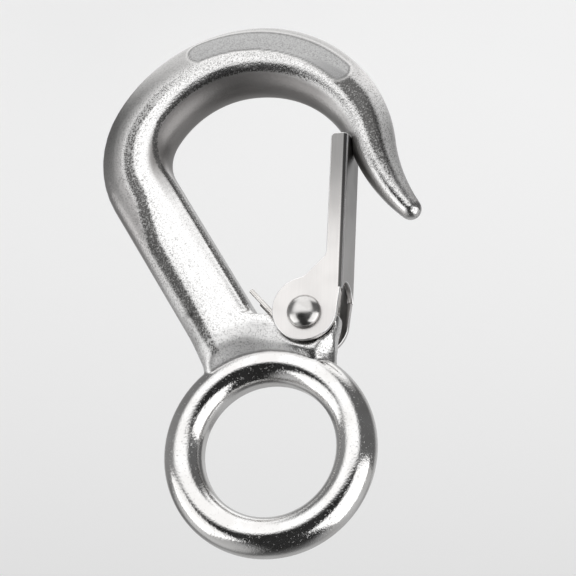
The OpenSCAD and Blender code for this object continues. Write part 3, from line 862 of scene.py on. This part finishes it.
# %% Material: painted edge highlight
edge_highlight, tree, _, grain = new_metal(
    "edge_highlight", Pit_Size=0.3, Wave_Size=2.5, Pit_Share=0.1)
edge_skin = mix_value(tree, grain["Patches"], 0.28, 0.36)
# The near-white tone of the edges is a painted highlight.
edge_highlight_tone = mix_colour(tree, grain["Patches"], (0.95, 0.945, 0.94), (0.86, 0.855, 0.85))
nicks = math_node(tree, "MULTIPLY", grain["Pits"], 0.4)
finish_metal(edge_highlight, edge_skin, mix_colour(tree, nicks, edge_highlight_tone, (0.45, 0.445, 0.44)))

# %% [markdown]
# The two finishes go into the two slots that wait for them. The latch rides on a body of its
# own, so that it swings.

# %% Dress the latch
latch.data.materials[0] = satin_sheet
latch.data.materials[1] = edge_highlight
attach(latch, "latch")
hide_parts("latch")
slots = np.empty(len(latch.data.polygons), int)
latch.data.polygons.foreach_get("material_index", slots)
print("faces in each slot:", np.bincount(slots))

# %% [markdown]
# ## The rivet
# A rivet is a plain shaft with a head at each end, the second one upset in place. Both ends are
# alike, so one outline serves for both: a list of rings, each with its radius and its place along
# the axis. The head follows a quarter of an ellipse, so that it is full at the rim.

# %% Outline of the rivet
pivot = Vector((-6.7 * MM, 0, -24.95 * MM))
shaft_r = 1.8 * MM
head_r = 3.2 * MM
head_h = 1.9 * MM
head_y = 5.45 * MM
rim_h = 0.25 * MM
rim_round = 0.08 * MM
crown_r = 0.02 * MM


def head_profile(steps):
    yield shaft_r, head_y
    yield head_r - rim_round, head_y
    yield head_r, head_y + rim_round
    for i in range(steps):
        a = math.radians(90 * i / steps)
        yield head_r * math.cos(a), head_y + rim_h + (head_h - rim_h) * math.sin(a)
    yield crown_r, head_y + head_h


one_end = list(head_profile(14))
rings = [(r, -y) for r, y in reversed(one_end)] + one_end
print("rings:", len(rings))

# %% [markdown]
# A small disc on the crown of one head is extruded from ring to ring, and each new ring is scaled
# about the axis, as on a lathe. So the rivet is one closed piece from crown to crown.

# %% Turn the rivet
bpy.ops.object.select_all(action="DESELECT")
bpy.ops.mesh.primitive_circle_add(vertices=56, radius=rings[0][0], fill_type="NGON",
                                  location=(pivot.x, rings[0][1], pivot.z),
                                  rotation=(math.radians(90), 0, 0))
rivet = bpy.context.active_object
rivet.name = "rivet_domed"
bpy.ops.object.transform_apply(location=True, rotation=True, scale=True)
bpy.ops.object.mode_set(mode="EDIT")
for (r0, y0), (r1, y1) in zip(rings, rings[1:]):
    bpy.ops.mesh.extrude_region_move(TRANSFORM_OT_translate={"value": (0, y1 - y0, 0)})
    if r1 != r0:
        bpy.ops.transform.resize(value=(r1 / r0, 1, r1 / r0), center_override=pivot)
bpy.ops.mesh.select_all(action="SELECT")
bpy.ops.mesh.normals_make_consistent(inside=False)
bpy.ops.object.mode_set(mode="OBJECT")
bpy.ops.object.shade_smooth_by_angle(angle=math.radians(40))
print("rivet, mm:", [round(v / MM, 2) for v in rivet.dimensions])

# %% [markdown]
# The rivet's heads are buffed with the eye, but they are small and take more knocks, so they
# are a little duller and darker.

# %% Material: buffed rivet
buffed_rivet, tree, _, grain = new_metal(
    "buffed_rivet", Pit_Size=0.35, Wave_Size=2.0, Pit_Share=0.2)
rivet_skin = mix_value(tree, grain["Patches"], 0.17, 0.24)
rivet_tone = mix_colour(tree, grain["Patches"], (0.54, 0.53, 0.52), (0.62, 0.61, 0.60))
finish_metal(buffed_rivet, rivet_skin, rivet_tone, grain["Height"], 0.004 * MM)
rivet.data.materials.append(buffed_rivet)
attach(rivet, "hook")
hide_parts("rivet")

# %% [markdown]
# ## The spring
# One length of wire makes a double torsion spring: a leg that bears on the neck, a coil
# round the boss, an arm up the channel, a bar across the web, and the same back on the
# other side. It is made in two halves that meet in the middle of the bar, and both halves
# ride on the hook's body.

# %% Sizes of the spring
wire_r = 0.45 * MM
coil_r = 4.35 * MM
side_y = 3.73 * MM
coil_y = 2.27 * MM
leg_l = 11.2 * MM
leg_turn = 43.0
latch_turn = -0.0522
turns_added = 2  # so that the wire runs on round the coil, from the leg to the arm
web_at = -6.9 * MM  # the web's outer face, from the pivot
bar_gap = 0.12 * MM
bar_x, bar_z = web_at + sheet_t + bar_gap + wire_r, -14 * MM
turn = math.radians(latch_turn)
bar_at = Vector((bar_x * math.cos(turn) - bar_z * math.sin(turn), 0,
                 bar_x * math.sin(turn) + bar_z * math.cos(turn)))
arm_turn = math.degrees(math.atan2(bar_at.z, bar_at.x)) - \
    math.degrees(math.acos(coil_r / bar_at.length)) + 360 * turns_added
print("turns in a coil:", round((arm_turn - leg_turn) / 360, 2))

# %% [markdown]
# The route is a list of points, seen from the pivot. The leg is straight, the coil moves in
# towards the middle as it turns, and a soft bend leads from the arm into the bar.

# %% Route of the wire
def on_circle(turn_deg, radius):
    return Vector((radius * math.cos(math.radians(turn_deg)), 0,
                   radius * math.sin(math.radians(turn_deg))))


def wire_route(coil_steps=72, bend_steps=6, bend=0.9 * MM):
    leg_end = on_circle(leg_turn, coil_r) + on_circle(leg_turn - 90, leg_l)
    route = [leg_end + Vector((0, -side_y, 0))]
    for i in range(coil_steps + 1):
        t = i / coil_steps
        p = on_circle(leg_turn + (arm_turn - leg_turn) * t, coil_r)
        route.append(p + Vector((0, -side_y + (side_y - coil_y) * t, 0)))
    for i in range(bend_steps + 1):
        a = math.radians(90 * i / bend_steps)
        back = bend * (1 - math.sin(a)) / bar_at.length
        route.append(bar_at * (1 - back) + Vector((0, -coil_y + bend * (1 - math.cos(a)), 0)))
    route.append(bar_at.copy())
    return route


route = wire_route()
length = sum((b - a).length for a, b in zip(route, route[1:]))
print("half a spring holds %.1f mm of wire" % (length / MM))

# %% [markdown]
# Spring wire is drawn through a die, which leaves it bright but a little streaky. Nothing buffs
# it after that.

# %% Material: drawn wire
drawn_wire, tree, _, grain = new_metal(
    "drawn_wire", Pit_Size=0.25, Wave_Size=1.5, Pit_Share=0.2)
wire_skin = mix_value(tree, grain["Patches"], 0.2, 0.3)
wire_tone = mix_colour(tree, grain["Patches"], (0.60, 0.58, 0.56), (0.70, 0.68, 0.66))
finish_metal(drawn_wire, wire_skin, wire_tone, grain["Height"], 0.004 * MM)

# %% [markdown]
# A curve with a round bevel is the quickest wire: the route is its spine. It becomes a mesh,
# which rides on the hook's body.

# %% Two halves of the spring
def spring_half(name, side):
    wire = bpy.data.curves.new(name, "CURVE")
    wire.dimensions = "3D"
    wire.bevel_depth = wire_r
    wire.bevel_resolution = 4
    wire.use_fill_caps = True
    spline = wire.splines.new("POLY")
    spline.points.add(len(route) - 1)
    for point, p in zip(spline.points, route):
        point.co = (pivot.x + p.x, side * -p.y, pivot.z + p.z, 1)
    half = bpy.data.objects.new(name, wire)
    bpy.context.scene.collection.objects.link(half)
    pick(half)
    bpy.ops.object.convert(target="MESH")
    half = bpy.context.active_object
    bpy.ops.object.mode_set(mode="EDIT")
    bpy.ops.mesh.select_all(action="SELECT")
    bpy.ops.mesh.remove_doubles(threshold=0.001 * MM)
    bpy.ops.mesh.normals_make_consistent(inside=False)
    bpy.ops.object.mode_set(mode="OBJECT")
    bpy.ops.object.shade_smooth_by_angle(angle=math.radians(40))
    half.data.materials.clear()
    half.data.materials.append(drawn_wire)
    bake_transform(half)
    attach(half, "hook")
    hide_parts("spring")
    print(name, len(half.data.vertices), "vertices")


spring_half("spring_near", -1)
spring_half("spring_far", 1)
